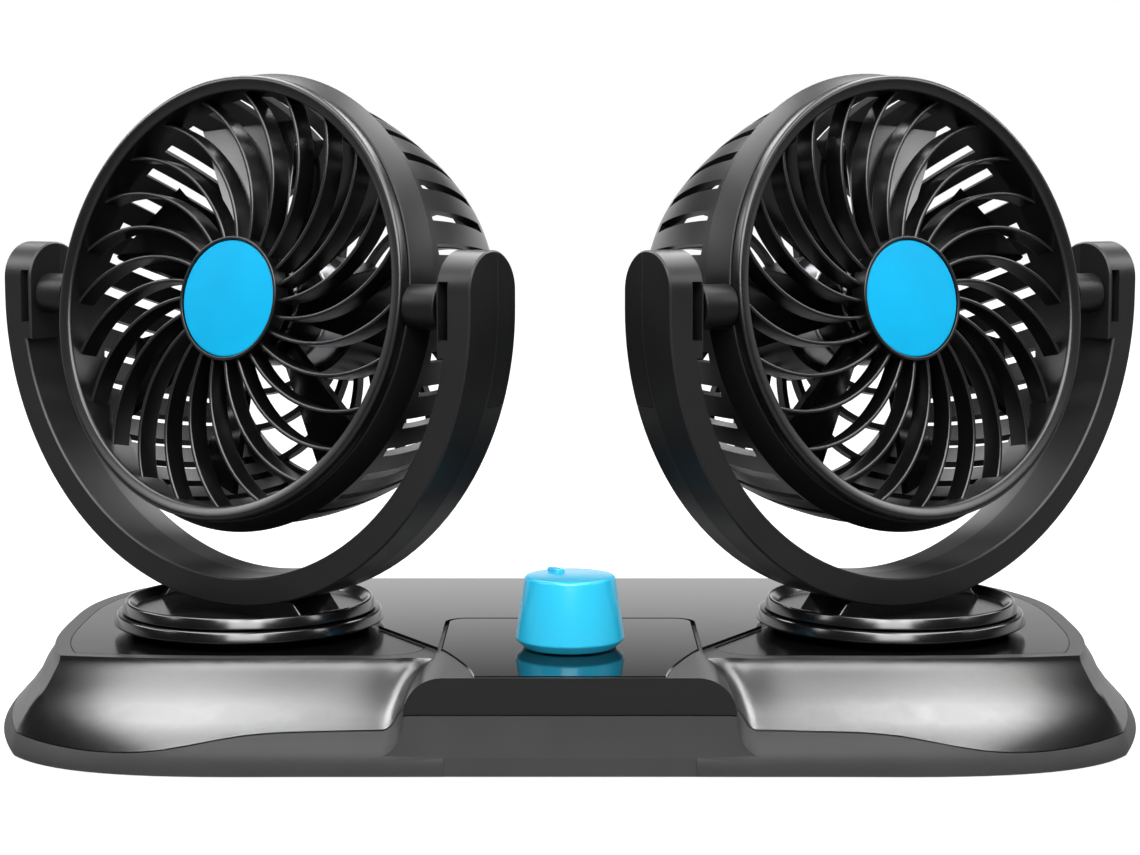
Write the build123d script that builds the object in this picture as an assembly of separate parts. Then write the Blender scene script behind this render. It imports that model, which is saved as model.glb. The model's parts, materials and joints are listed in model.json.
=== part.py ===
from build123d import *

import os
from math import cos, radians, sin, sqrt, tan

# Dual head car fan: a flared base with two swivelling yokes, each holding a tilting fan head.
# Frame: X to the object's right as seen from the front, Y to the back, Z up, origin under the middle.
# Every pair is drawn once as the left one and mirrored in the plane X = 0.
# Lengths are millimetres, angles are degrees.

# Shared values
overrun = 5.0  # how far a cut reaches past what it cuts
seat_gap = 0.1  # between pieces of one body that sit in each other
seam_gap = 0.3  # open line between neighbouring covers
running_gap = 0.06  # radial play of a shaft in its hole
moving_gap = 0.35  # play between bodies that turn past each other

# Base shells
base_width = 277.0
base_depth = 130.0
base_wall = 2.2
tray_bottom = 0.3  # the feet stand this far out of the tray
tray_floor = 2.0
pod_top = 21.8
bridge_top = 22.3
bridge_half_width = 36.8
bridge_shoulder = 8.5
bridge_setback = 0.4  # the bridge's front stands this far behind the feet of the pods
fascia_setback = 0.5  # the fascia stands this far behind the tray's front
pod_top_wall = 2.4
junction_round = 5.0  # where a pod's flank runs into the side of the bridge

# Seam between tray and cover, seen from the front
seam_middle_height = 13.8
seam_pod_height = 9.4
seam_low_height = 4.9
seam_corner = 3.0
seam_step_width = 5.4
seam_bend_share = 0.667
seam_tail_slope_share = 0.2

# Deck, control panel and pod inlays
deck_top = 22.5
deck_thickness = 1.3
deck_front_half_width = 21.4
deck_waist_half_width = 30.9
deck_rear_half_width = 88.0
deck_edge_margin = 1.0
deck_curve_shares = ((0.00, 0.00), (0.20, 0.33), (0.48, 0.60), (0.78, 0.85), (1.00, 1.00))
panel_half_width = 30.5
panel_back = 5.6
panel_corner = 5.0
panel_gap = 0.8
panel_bevel = 0.35
inlay_margin = 3.6
inlay_thickness = 1.0

# Feet, screws and other base fittings
foot_radius = 6.0
foot_thickness = 1.4
foot_inset_x = 32.5
foot_inset_y = 21.0
foot_spacing_x = base_width - foot_inset_x * 2
foot_spacing_y = base_depth - foot_inset_y * 2
post_radius = 3.6
post_inset_x = 50.5
post_inset_y = 31.0
post_spacing_x = base_width - post_inset_x * 2
post_spacing_y = base_depth - post_inset_y * 2
screw_radius = 1.4
screw_head_radius = 2.8
screw_head_height = 1.8
screw_bite = 6.0
screw_slot_width = 0.7
screw_slot_depth = 0.7
screw_slot_share = 0.62  # of the head's radius
screw_crown_share = 0.4  # of the head's height
grommet_bore = 2.4
grommet_radius = 4.2
grommet_flange_radius = 5.4
grommet_flange_thickness = 1.4
grommet_height = 8.4

# Speed knob and switch
knob_y = -30.0
knob_lift = 2.2  # its widest line is this far above the deck
knob_height = 14.7  # from its widest line up
knob_foot_radius = 12.8
knob_skirt_radius = 10.9  # at its underside
knob_top_radius = 10.6
knob_edge_round = 1.2
knob_foot_round = 0.4
pointer_length = 5.0
pointer_width = 2.4
pointer_height = 0.7
pointer_reach = 9.6
pointer_corner_share = 0.8
pointer_angle = 118.0  # from the X axis, in the off position
shaft_radius = 3.0
shaft_depth = 10.0  # how deep the shaft stands in the knob
switch_bush_radius = 4.4
switch_nut_across = 11.0
switch_nut_height = 1.4
switch_bush_rise = 1.6  # above the deck
switch_width = 22.0
switch_depth = 20.0
switch_height = 9.0
switch_bore_share = 0.7
board_width = 74.0
board_depth = 34.0
board_thickness = 1.6
board_inset_y = 35.0  # its middle from the rear of the base
board_y = base_depth / 2 - board_inset_y
board_height = 8.4
board_post_shares = (0.8, 0.7)

# Swivel under each fan
swivel_inset = 59.7
swivel_spacing = base_width - swivel_inset * 2
swivel_y = -2.0
collar_foot_radius = 28.6
collar_waist_radius = 31.6
collar_lip_radius = 33.0
collar_waist_height = 1.8
collar_lip_height = 4.7
collar_lip_round = 0.8
swivel_rim_radius = 31.0
swivel_rim_width = 1.5
swivel_rim_round = 0.6
swivel_rim_height = 29.5
swivel_dish_depth = 2.0
spigot_radius = 14.0
spigot_bore = 6.0
retainer_radius = 20.0
retainer_thickness = 2.0
retainer_screw_circle = 20.0
retainer_screw_count = 3
saddle_half_length = 17.0
saddle_half_width = 7.4

# Head band, which the yoke reaches round
band_front_radius = 53.9
band_rear_radius = 56.1
band_rear = 1.1
band_wall = 2.0

# Yoke
head_yaw = 33.0
head_play = 10.4  # between the band and the U
yoke_thickness = 6.8
yoke_pad_thickness = 2.6
yoke_underside = 28.6  # level of the U's lowest line
yoke_inner_radius = band_rear_radius + head_play
yoke_outer_radius = yoke_inner_radius + yoke_thickness
yoke_pad_face = yoke_inner_radius - yoke_pad_thickness  # inner face of the arms at the pivot
pivot_height = yoke_underside + yoke_outer_radius
yoke_pad_drop = 11.0
yoke_depth = 18.4
yoke_arm_rise = 13.6
yoke_seam_back = 1.5  # the two halves meet this far behind the pivot axis
yoke_wall = 1.8
yoke_edge_bevel = 0.4
yoke_channel_angle = 62.0  # half angle of the hollow, from straight down
slot_inset = 0.7
slot_width = 2.6
slot_height = 13.2
yoke_screw_share = 0.5
yoke_screw_head_radius = 1.8
yoke_post_radius = 2.4
yoke_screw_angles = (-66.0, -34.0, 34.0, 66.0)
cover_thickness = 1.0
cover_drop = 22.4

# Head, along its own axis: forward of the tilt axis is positive
head_tilt = 9.4
lip_front = 9.2
lip_radius = 53.7
lip_thickness = 3.0
lip_round = 0.6
lip_crest_radius = 52.4
lip_inner_drop = 0.8
throat_radius = 50.2
throat_wall = 1.5
throat_depth = 3.6  # from the lip's front to the ribs
trunnion_height = 10.2
trunnion_front = 8.7
trunnion_rear = 3.6
trunnion_play = 1.2
trunnion_end = yoke_pad_face - trunnion_play
trunnion_round_share = 0.95
pin_radius = 3.2
pin_cover = 3.7  # left of the arm past the pin
pin_end = yoke_outer_radius - pin_cover
disc_radius = 6.2
disc_thickness = 2.0

# Front grille
rib_count = 24
rib_thickness = 1.1
rib_depth = 6.0
rib_root_slant = 8.0
rib_end_slant = 49.0
hub_front = 6.9
hub_ring_radius = 15.1
hub_ring_depth = 5.0
cap_radius = 14.2
cap_thickness = 1.6
cap_round = 0.4
cap_recess = 0.3

# Rear cage
cage_front_radius = 54.4
cage_middle_radius = 52.0
cage_rear_radius = 45.6
cage_rear = 42.2
cage_wall = 2.0
cage_edge_round = 3.0
cage_slot_count = 40
cage_slot_width = 2.6
cage_slot_slant = 9.0
cage_slot_margin = 4.0
rear_rib_count = 20
rear_rib_thickness = 1.5
rear_rib_depth = 2.4
rear_rib_root_slant = 12.0
rear_rib_end_slant = 40.0
motor_cup_wall = 1.6
motor_cup_depth = 17.0

# Motor and impeller
motor_radius = 13.8
motor_length = 25.0
motor_boss_radius = 4.5
motor_boss_height = 2.0
motor_screw_spacing = 16.0
motor_screw_radius = 1.2
motor_screw_head_radius = 2.2
motor_screw_bite = 4.8
motor_edge_round = 1.0
motor_shaft_radius = 1.2
impeller_front = -2.0
impeller_hub_radius = 14.4
impeller_hub_depth = 11.0
impeller_hub_wall = 1.8
impeller_tip_radius = 45.5
impeller_nose = 2.2
blade_count = 7
blade_thickness = 1.5
blade_root_chord = 11.0
blade_tip_chord = 24.0
blade_root_pitch = 42.0
blade_tip_pitch = 26.0

# Outline of a pod in plan, from its inner front corner round to its inner back corner.
# Each pair is a share of the base's half width and of its half depth. The first table is the
# top edge, the second the foot, and both have the corner between front and side at the same place.
pod_top_shares = (
    (0.223, -0.480),
    (0.265, -0.600),
    (0.365, -0.628),
    (0.556, -0.630),
    (0.712, -0.612),
    (0.852, -0.568),
    (0.880, -0.380),
    (0.899, 0.110),
    (0.892, 0.450),
    (0.858, 0.690),
    (0.795, 0.890),
    (0.697, 0.975),
    (0.152, 0.985),
)
pod_foot_shares = (
    (0.202, -1.000),
    (0.323, -1.000),
    (0.445, -1.000),
    (0.647, -0.992),
    (0.809, -0.905),
    (0.921, -0.700),
    (0.974, -0.344),
    (0.998, 0.083),
    (0.984, 0.441),
    (0.931, 0.699),
    (0.839, 0.890),
    (0.707, 0.990),
    (0.152, 0.996),
)
# How far each of these points follows the flare of the front; the rest is the flare of the side
front_flare_pull_shares = (1.0, 1.0, 1.0, 1.0, 0.85, 0.6, 0.1, 0.0, 0.0, 0.0, 0.0, 0.0, 0.0)
crease_index = 5
back_index = 11
# How far the wall has flared from the top edge to the foot, for the height, the front and the side
flare_shares = (
    (0.00, 0.990, 0.937),
    (0.10, 1.000, 1.000),
    (0.20, 0.990, 0.885),
    (0.30, 0.940, 0.740),
    (0.42, 0.820, 0.568),
    (0.54, 0.585, 0.431),
    (0.67, 0.320, 0.283),
    (0.82, 0.120, 0.158),
    (0.92, 0.030, 0.041),
    (1.00, 0.000, 0.000),
)
# Seam heights along the front, as shares of the half width and of the drop between pod and low height
seam_curve_shares = ((0.43, 0.96), (0.53, 0.80), (0.67, 0.14), (0.77, 0.00), (0.93, 0.10), (1.07, 0.25))

half_width = base_width / 2
half_depth = base_depth / 2


def disc(radius, bottom, top):
    """Upright cylinder between two levels."""
    return Pos(0, 0, bottom) * Cylinder(
        radius, top - bottom, align=(Align.CENTER, Align.CENTER, Align.MIN)
    )


def pipe(outer, inner, bottom, top):
    """Upright ring between two levels."""
    return disc(outer, bottom, top) - disc(inner, bottom - overrun, top + overrun)


def block(x_range, y_range, z_range):
    """Box between pairs of coordinates."""
    low = Vector(x_range[0], y_range[0], z_range[0])
    size = Vector(x_range[1], y_range[1], z_range[1]) - low
    return Pos(low) * Box(size.X, size.Y, size.Z, align=(Align.MIN, Align.MIN, Align.MIN))


def turned(profile):
    """Solid of revolution about Z from a closed list of (radius, height)."""
    corners = [Vector(radius, 0, height) for radius, height in profile]
    return revolve(Face(Wire.make_polygon(corners, close=True)), Axis.Z)


def mirrored(shape):
    return mirror(shape, about=Plane.YZ)


def screw(head_radius, head_height, shank_radius, length):
    """Cross-slotted screw, head up, with the underside of its head at the origin."""
    head = disc(head_radius, 0, head_height)
    head = fillet(head.edges().sort_by(Axis.Z)[-1], head_height * screw_crown_share)
    slot_reach = head_radius * screw_slot_share
    slot_floor = head_height - screw_slot_depth
    half_slot = screw_slot_width / 2
    for quarter in (0, 90):
        cut = block((-slot_reach, slot_reach), (-half_slot, half_slot), (slot_floor, head_height + overrun))
        head -= Rot(0, 0, quarter) * cut
    return head + disc(shank_radius, -length, 0)


def corners_of(spacing_x, spacing_y):
    return [(x, y) for x in (-spacing_x / 2, spacing_x / 2) for y in (-spacing_y / 2, spacing_y / 2)]


# Base form


def pod_points(front_flare, side_flare, inset):
    """Plan outline of the right pod at one flare of its front and side, moved inwards by the inset."""
    points = []
    for top, foot, pull in zip(pod_top_shares, pod_foot_shares, front_flare_pull_shares):
        flare = side_flare + (front_flare - side_flare) * pull
        x = half_width * (top[0] + (foot[0] - top[0]) * flare)
        y = half_depth * (top[1] + (foot[1] - top[1]) * flare)
        points.append(Vector(x, y))
    moved = []
    for index, point in enumerate(points):
        before = (point - points[index - 1]).normalized()
        after = (points[(index + 1) % len(points)] - point).normalized()
        normal_before = Vector(-before.Y, before.X)
        normal_after = Vector(-after.Y, after.X)
        both = normal_before + normal_after
        moved.append(point + both * (inset / both.dot(normal_before)))
    return moved


def pod_outline(front_flare, side_flare, inset, height):
    """Closed wire: front edge, side edge, back edge and inner edge."""
    points = [Vector(point.X, point.Y, height) for point in pod_points(front_flare, side_flare, inset)]
    front = Spline(*points[: crease_index + 1])
    side = Spline(*points[crease_index : back_index + 1])
    back = Line(points[back_index], points[-1])
    inner = Line(points[-1], points[0])
    return Wire([front, side, back, inner])


def pod_form(inset, bottom):
    """Flared solid of the right pod, from a level near its foot up to its flat top."""
    span = pod_top - tray_bottom
    sections = []
    for height_share, front_flare, side_flare in flare_shares:
        level = tray_bottom + span * height_share
        sections.append(Face(pod_outline(front_flare, side_flare, inset, level)))
    form = loft(sections)
    if bottom > tray_bottom:
        form -= block((-base_width, base_width), (-base_depth, base_depth), (-overrun, bottom))
    return form


def bridge_form(inset, bottom, top, setback):
    """Shouldered block that joins the pods and ends in the fascia."""
    reach = bridge_half_width - inset
    radius = bridge_shoulder - inset
    flat = reach - radius
    bend_x = flat + radius * sqrt(0.5)
    bend_z = top - radius + radius * sqrt(0.5)
    profile = Wire(
        [
            Line((-reach, 0, bottom), (reach, 0, bottom)),
            Line((reach, 0, bottom), (reach, 0, top - radius)),
            ThreePointArc((reach, 0, top - radius), (bend_x, 0, bend_z), (flat, 0, top)),
            Line((flat, 0, top), (-flat, 0, top)),
            ThreePointArc((-flat, 0, top), (-bend_x, 0, bend_z), (-reach, 0, top - radius)),
            Line((-reach, 0, top - radius), (-reach, 0, bottom)),
        ]
    )
    front = -half_depth + bridge_setback + setback + inset
    back = half_depth - inset
    solid = extrude(Face(profile), back - front, dir=(0, 1, 0))
    return Pos(0, front, 0) * solid


def base_form(inset, bottom, bridge_level, setback):
    """Outside of the whole base, or with an inset the space inside its walls."""
    pod = pod_form(inset, bottom)
    return bridge_form(inset, bottom, bridge_level, setback) + pod + mirrored(pod)


def base_outside(setback):
    """Outside of the whole base with its flanks rounded into the bridge."""
    form = base_form(0, tray_bottom, bridge_top, setback)
    front_limit = pod_points(0, 0, 0)[0].Y
    junctions = []
    for edge in form.edges().filter_by(GeomType.BSPLINE):
        middle = edge.center()
        beside_bridge = abs(abs(middle.X) - bridge_half_width) < junction_round
        tall = edge.length > (pod_top - tray_bottom) / 2
        if beside_bridge and tall and middle.Y < front_limit and middle.Z > tray_bottom + base_wall:
            junctions.append(edge)
    return fillet(junctions, junction_round)


def base_ceiling():
    """Underside of the cover's top wall."""
    return pod_top - pod_top_wall


def below_seam(shift):
    """Everything under the line where the cover meets the tray, moved up by the shift."""
    step_end = bridge_half_width + seam_step_width
    middle = seam_middle_height + shift
    pod_level = seam_pod_height + shift
    drop = seam_pod_height - seam_low_height
    tail = [
        Vector(half_width * x, 0, seam_low_height + drop * z + shift) for x, z in seam_curve_shares
    ]
    corner = seam_corner
    edges = [
        Line((0, 0, middle), (bridge_half_width - corner / 2, 0, middle)),
        Spline(
            (bridge_half_width - corner / 2, 0, middle),
            (bridge_half_width + corner / 2, 0, pod_level + (middle - pod_level) * seam_bend_share),
            (step_end, 0, pod_level),
            tangents=((1, 0, 0), (1, 0, 0)),
        ),
        Spline((step_end, 0, pod_level), *tail, tangents=((1, 0, 0), (1, 0, seam_tail_slope_share))),
    ]
    end = tail[-1]
    edges += [
        Line(end, (end.X, 0, -overrun)),
        Line((end.X, 0, -overrun), (0, 0, -overrun)),
        Line((0, 0, -overrun), (0, 0, middle)),
    ]
    reach = base_depth + overrun * 2
    half = Pos(0, -reach / 2, 0) * extrude(Face(Wire(edges)), reach, dir=(0, 1, 0))
    return half + mirrored(half)


def deck_outline_points():
    """Right edge of the deck from the front to the back."""
    front = -half_depth + bridge_setback + fascia_setback + deck_edge_margin
    back = half_depth - deck_edge_margin
    waist = pod_points(0, 0, 0)[0].Y
    run = waist - front
    side = deck_waist_half_width - deck_front_half_width
    curve = [(deck_front_half_width + side * x, front + run * y) for x, y in deck_curve_shares]
    return curve, (deck_rear_half_width, back)


def deck_area(bottom, top, grow):
    """Prism over the whole deck, with its outline grown by a clearance."""
    curve, rear = deck_outline_points()
    front_y = curve[0][1] - grow
    back_y = rear[1] + grow
    right = [Vector(x + grow, y, bottom) for x, y in curve]
    right[0] = Vector(right[0].X, front_y, bottom)
    left = [Vector(-point.X, point.Y, bottom) for point in right]
    rear_right = Vector(rear[0] + grow, back_y, bottom)
    rear_left = Vector(-rear[0] - grow, back_y, bottom)
    outline = Wire(
        [
            Spline(*right),
            Line(right[-1], rear_right),
            Line(rear_right, rear_left),
            Line(rear_left, left[-1]),
            Spline(*reversed(left)),
            Line(left[0], right[0]),
        ]
    )
    return extrude(Face(outline), top - bottom, dir=(0, 0, 1))


def panel_window(bottom, top, grow):
    """Prism whose back end bounds the control panel."""
    reach = panel_half_width + grow
    solid = block((-reach, reach), (-base_depth, panel_back + grow), (bottom, top))
    upright = solid.edges().filter_by(Axis.Z).group_by(Axis.Y)[-1]
    return fillet(upright, panel_corner + grow)


def inlay_area(bottom, top, grow):
    """Prism over the flat top of the left pod, clear of the deck."""
    outline = pod_outline(0, 0, inlay_margin - grow, bottom)
    solid = extrude(Face(outline), top - bottom, dir=(0, 0, 1))
    solid -= deck_area(bottom - overrun, top + overrun, deck_edge_margin - grow)
    shoulder = bridge_half_width - bridge_shoulder / 2 + deck_edge_margin - grow
    solid -= block((-shoulder, shoulder), (-base_depth, base_depth), (bottom - overrun, top + overrun))
    return mirrored(solid)


def at_left_swivel(shape):
    return Pos(-swivel_spacing / 2, swivel_y, 0) * shape


def base_tray():
    """Lower shell with its floor, posts and foot recesses."""
    floor_level = tray_bottom + tray_floor
    outer = base_outside(0) & below_seam(0)
    cavity = base_form(base_wall, floor_level, bridge_top - base_wall, 0)
    tray = outer - cavity
    for x, y in corners_of(post_spacing_x, post_spacing_y):
        post = Pos(x, y, 0) * disc(post_radius, floor_level - seat_gap, seam_low_height - seam_gap)
        hole = Pos(x, y, 0) * disc(screw_radius + seat_gap, -overrun, seam_middle_height)
        sink = Pos(x, y, 0) * disc(
            screw_head_radius + seat_gap, -overrun, tray_bottom + screw_head_height / 2
        )
        tray = tray + post - hole - sink
    for x, y in corners_of(foot_spacing_x, foot_spacing_y):
        tray -= Pos(x, y, 0) * disc(foot_radius + seat_gap, -overrun, foot_thickness)
    for x, y in corners_of(board_width * board_post_shares[0], board_depth * board_post_shares[1]):
        stand = disc(post_radius / 2, floor_level - seat_gap, board_height)
        tray += Pos(x, board_y + y, 0) * stand
    grommet_hole = Rot(-90, 0, 0) * disc(grommet_radius + seat_gap, 0, overrun + base_wall * 2)
    tray -= Pos(0, half_depth - base_wall * 2, grommet_height) * grommet_hole
    return tray


def base_cover():
    """Upper shell: two pods and the bridge, hollow from below."""
    outer = base_outside(fascia_setback) - below_seam(seam_gap)
    ceiling = base_ceiling()
    cavity = base_form(base_wall, tray_bottom, bridge_top - base_wall, fascia_setback)
    limit = block((-base_width, base_width), (-base_depth, base_depth), (-overrun, ceiling))
    cover = outer - (cavity & limit)
    cover -= deck_area(deck_top - deck_thickness, deck_top + overrun, seat_gap)
    inlay_cut = inlay_area(pod_top - inlay_thickness, pod_top + overrun, seat_gap)
    cover = cover - inlay_cut - mirrored(inlay_cut)
    spigot_hole = at_left_swivel(disc(spigot_radius + moving_gap, 0, pod_top + overrun))
    cover = cover - spigot_hole - mirrored(spigot_hole)
    for x, y in corners_of(post_spacing_x, post_spacing_y):
        cover += Pos(x, y, 0) * pipe(
            post_radius, screw_radius, seam_low_height - seam_gap / 2, ceiling + seat_gap
        )
    cover -= Pos(0, knob_y, 0) * disc(switch_bush_radius + seat_gap, 0, deck_top + overrun)
    return cover


def deck_and_panel():
    """Glossy centre deck and the control panel set into its front."""
    low = deck_top - deck_thickness
    plate = deck_area(low, deck_top, 0)
    deck = plate - panel_window(low - overrun, deck_top + overrun, panel_gap / 2)
    deck -= block(
        (-deck_waist_half_width, deck_waist_half_width),
        (-base_depth, deck_outline_points()[0][-1][1]),
        (low - overrun, deck_top + overrun),
    )
    panel = plate & panel_window(low - overrun, deck_top + overrun, -panel_gap / 2)
    for x in (-swivel_spacing / 2, swivel_spacing / 2):
        collar_room = disc(collar_waist_radius + seam_gap, low - overrun, deck_top + overrun)
        deck -= Pos(x, swivel_y, 0) * collar_room
    panel -= Pos(0, knob_y, 0) * disc(switch_bush_radius + seat_gap, 0, deck_top + overrun)
    rim = panel.edges().group_by(Axis.Z)[-1].filter_by(GeomType.CIRCLE, reverse=True)
    panel = chamfer(rim, panel_bevel)
    return deck, panel


def pod_inlay():
    plate = inlay_area(pod_top - inlay_thickness, pod_top, -seat_gap)
    return plate - at_left_swivel(disc(spigot_radius + moving_gap, 0, pod_top + overrun))


def feet():
    pads = []
    for x, y in corners_of(foot_spacing_x, foot_spacing_y):
        pad = disc(foot_radius, 0, foot_thickness)
        pad = chamfer(pad.edges().sort_by(Axis.Z)[0], tray_bottom / 2)
        pads.append(Pos(x, y, 0) * pad)
    return pads


def base_screws():
    length = seam_low_height + screw_bite - tray_bottom
    one = Rot(180, 0, 0) * screw(screw_head_radius, screw_head_height / 2, screw_radius, length)
    seat = tray_bottom + screw_head_height / 2
    return [Pos(x, y, seat) * one for x, y in corners_of(post_spacing_x, post_spacing_y)]


def cable_grommet():
    """Flanged bush in the rear wall, lying along Y and flush with the wall's outside."""
    body = disc(grommet_radius, 0, base_wall)
    flange = disc(grommet_flange_radius, -grommet_flange_thickness, 0)
    bush = body + flange - disc(grommet_bore, -base_depth, base_depth)
    return Pos(0, half_depth - base_wall, grommet_height) * (Rot(-90, 0, 0) * bush)


def circuit_board():
    half_x = board_width / 2
    half_y = board_depth / 2
    board = block((-half_x, half_x), (-half_y, half_y), (0, board_thickness))
    return Pos(0, board_y, board_height) * board


# Knob and switch


def switch_body():
    """Switch case under the panel with its threaded bush standing through it."""
    ceiling = base_ceiling()
    half_x = switch_width / 2
    half_y = switch_depth / 2
    case = block((-half_x, half_x), (-half_y, half_y), (ceiling - switch_height, ceiling))
    bush_top = deck_top + switch_bush_rise
    body = case + disc(switch_bush_radius, ceiling - seat_gap, bush_top)
    bore_floor = ceiling - switch_height * switch_bore_share
    body -= disc(shaft_radius + running_gap, bore_floor, bush_top + overrun)
    return Pos(0, knob_y, 0) * body, bore_floor


def switch_nut():
    hexagon = RegularPolygon(switch_nut_across / 2, 6, major_radius=False)
    nut = extrude(Plane.XY.offset(deck_top) * hexagon, switch_nut_height)
    return Pos(0, knob_y, 0) * (nut - disc(switch_bush_radius + running_gap, 0, deck_top * 2))


def knob_pieces():
    """Tapered knob with a narrowing skirt and a pointer ridge, and the shaft that it is pushed onto."""
    low = deck_top + moving_gap
    widest = deck_top + knob_lift
    top = widest + knob_height
    body = turned(
        (
            (0, low),
            (knob_skirt_radius, low),
            (knob_foot_radius, widest),
            (knob_top_radius, top),
            (0, top),
        )
    )
    rims = body.edges().filter_by(GeomType.CIRCLE).sort_by(Axis.Z)
    body = fillet(rims[-1], knob_edge_round)
    rims = body.edges().filter_by(GeomType.CIRCLE).sort_by(SortBy.RADIUS)
    body = fillet(rims[-1], knob_foot_round)
    half = pointer_width / 2
    reach = (pointer_reach - pointer_length, pointer_reach)
    ridge = block(reach, (-half, half), (top - half, top + pointer_height))
    ridge = fillet(ridge.edges().filter_by(Axis.Z), half * pointer_corner_share)
    body += Rot(0, 0, pointer_angle) * ridge
    nut_room = switch_nut_across / sqrt(3) + moving_gap
    body -= disc(nut_room, low - overrun, deck_top + switch_bush_rise + moving_gap)
    shaft_top = widest + shaft_depth
    body -= disc(shaft_radius, low - overrun, shaft_top)
    shaft_low = switch_body()[1] + moving_gap
    shaft = disc(shaft_radius, shaft_low, shaft_top)
    return Pos(0, knob_y, 0) * body, Pos(0, knob_y, 0) * shaft


# Swivel


def swivel_collar():
    """Fixed ring on the pod with an overhanging lip."""
    waist = pod_top + collar_waist_height
    lip = pod_top + collar_lip_height
    bore = spigot_radius + running_gap
    ring = turned(
        (
            (bore, pod_top),
            (collar_foot_radius, pod_top),
            (collar_waist_radius, waist),
            (collar_lip_radius, waist),
            (collar_lip_radius, lip),
            (bore, lip),
        )
    )
    rim = ring.edges().filter_by(GeomType.CIRCLE).filter_by(
        lambda edge: abs(edge.radius - collar_lip_radius) < collar_lip_round / 2
    )
    return fillet(rim, collar_lip_round)


def retainer_screw_places():
    radius = retainer_screw_circle / 2
    step = 360 / retainer_screw_count
    angles = [radians(step * index) for index in range(retainer_screw_count)]
    return [(radius * cos(angle), radius * sin(angle)) for angle in angles]


def swivel_levels():
    """Heights of the turning plate's underside and of the spigot's end."""
    plate_low = pod_top + collar_lip_height + moving_gap
    spigot_low = pod_top - pod_top_wall - moving_gap
    return plate_low, spigot_low


def swivel_plate():
    """Turning plate with a raised rim, a dished top, a saddle for the yoke and a hollow spigot."""
    plate_low, spigot_low = swivel_levels()
    rim_inner = swivel_rim_radius - swivel_rim_width
    dish = swivel_rim_height - swivel_dish_depth
    plate = turned(
        (
            (0, plate_low),
            (swivel_rim_radius, plate_low),
            (swivel_rim_radius, swivel_rim_height),
            (rim_inner, swivel_rim_height),
            (rim_inner - swivel_dish_depth, dish),
            (0, dish),
        )
    )
    outer = plate.edges().filter_by(GeomType.CIRCLE).group_by(Axis.Z)[-1]
    plate = fillet(outer, swivel_rim_round)
    plate += disc(spigot_radius, spigot_low, plate_low + seat_gap)
    saddle = block(
        (-saddle_half_length, saddle_half_length),
        (-saddle_half_width, saddle_half_width),
        (plate_low, dish + swivel_rim_width),
    )
    bed = Rot(90, 0, 0) * disc(yoke_outer_radius + seat_gap, -yoke_depth * 2, yoke_depth * 2)
    turned_saddle = Rot(0, 0, -head_yaw) * (saddle - Pos(0, 0, pivot_height) * bed)
    plate = plate - Rot(0, 0, -head_yaw) * (Pos(0, 0, pivot_height) * bed) + turned_saddle
    plate -= disc(spigot_bore, spigot_low - overrun, plate_low)
    for x, y in retainer_screw_places():
        plate -= Pos(x, y, 0) * disc(screw_radius, spigot_low - overrun, spigot_low + screw_bite)
    return at_left_swivel(plate)


def swivel_retainer():
    """Plate under the pod that holds the spigot, and its screws."""
    spigot_low = swivel_levels()[1]
    low = spigot_low - retainer_thickness
    plate = disc(retainer_radius, low, spigot_low) - disc(spigot_bore, 0, spigot_low + overrun)
    screws = []
    one = Rot(180, 0, 0) * screw(
        screw_head_radius, screw_head_height, screw_radius, retainer_thickness + screw_bite - seam_gap
    )
    for x, y in retainer_screw_places():
        plate -= Pos(x, y, 0) * disc(screw_radius + seat_gap, 0, spigot_low + overrun)
        screws.append(at_left_swivel(Pos(x, y, low) * one))
    return at_left_swivel(plate), screws


# Yoke, drawn round the pivot with its front towards -Y


def place_yoke(shape):
    return Pos(-swivel_spacing / 2, swivel_y, pivot_height) * (Rot(0, 0, -head_yaw) * shape)


def along_y(shape):
    """Turns a shape drawn along Z so that it lies along Y."""
    return Rot(90, 0, 0) * shape


def yoke_blank(outer_radius):
    """Full U of the yoke: a half ring with upright arms and thicker pads at the pivots."""
    half = yoke_depth / 2
    ring = along_y(pipe(outer_radius, yoke_inner_radius, -half, half))
    lower = block((-base_width, base_width), (-half - overrun, half + overrun), (-base_width, 0))
    solid = ring & lower
    for side in (-1, 1):
        arm_x = sorted((side * yoke_pad_face, side * outer_radius))
        solid += block(arm_x, (-half, half), (0, yoke_arm_rise))
    pads = along_y(pipe(yoke_inner_radius + overrun / 2, yoke_pad_face - overrun, -half, half))
    for side in (-1, 1):
        pad_x = sorted((side * yoke_pad_face, side * (yoke_outer_radius - yoke_wall)))
        solid += pads & block(pad_x, (-half, half), (-yoke_pad_drop, 0))
    top_shape = Pos(0, 0, yoke_arm_rise - half) * (Rot(0, 90, 0) * disc(half, -base_width, base_width))
    below = block((-base_width, base_width), (-half, half), (-base_width, yoke_arm_rise - half))
    return solid & (top_shape + below)


def pivot_cuts():
    """Slots for the discs and holes for the pins in both arms."""
    half = yoke_depth / 2
    cuts = []
    for side in (-1, 1):
        near = yoke_pad_face + slot_inset
        slot_x = sorted((side * near, side * (near + slot_width)))
        cuts.append(block(slot_x, (-half - overrun, slot_height / 2), (-slot_height / 2, slot_height / 2)))
        pin = Rot(0, 90 * side, 0) * disc(
            pin_radius + running_gap, yoke_pad_face - overrun, pin_end + moving_gap
        )
        cuts.append(pin)
    return cuts


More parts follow.
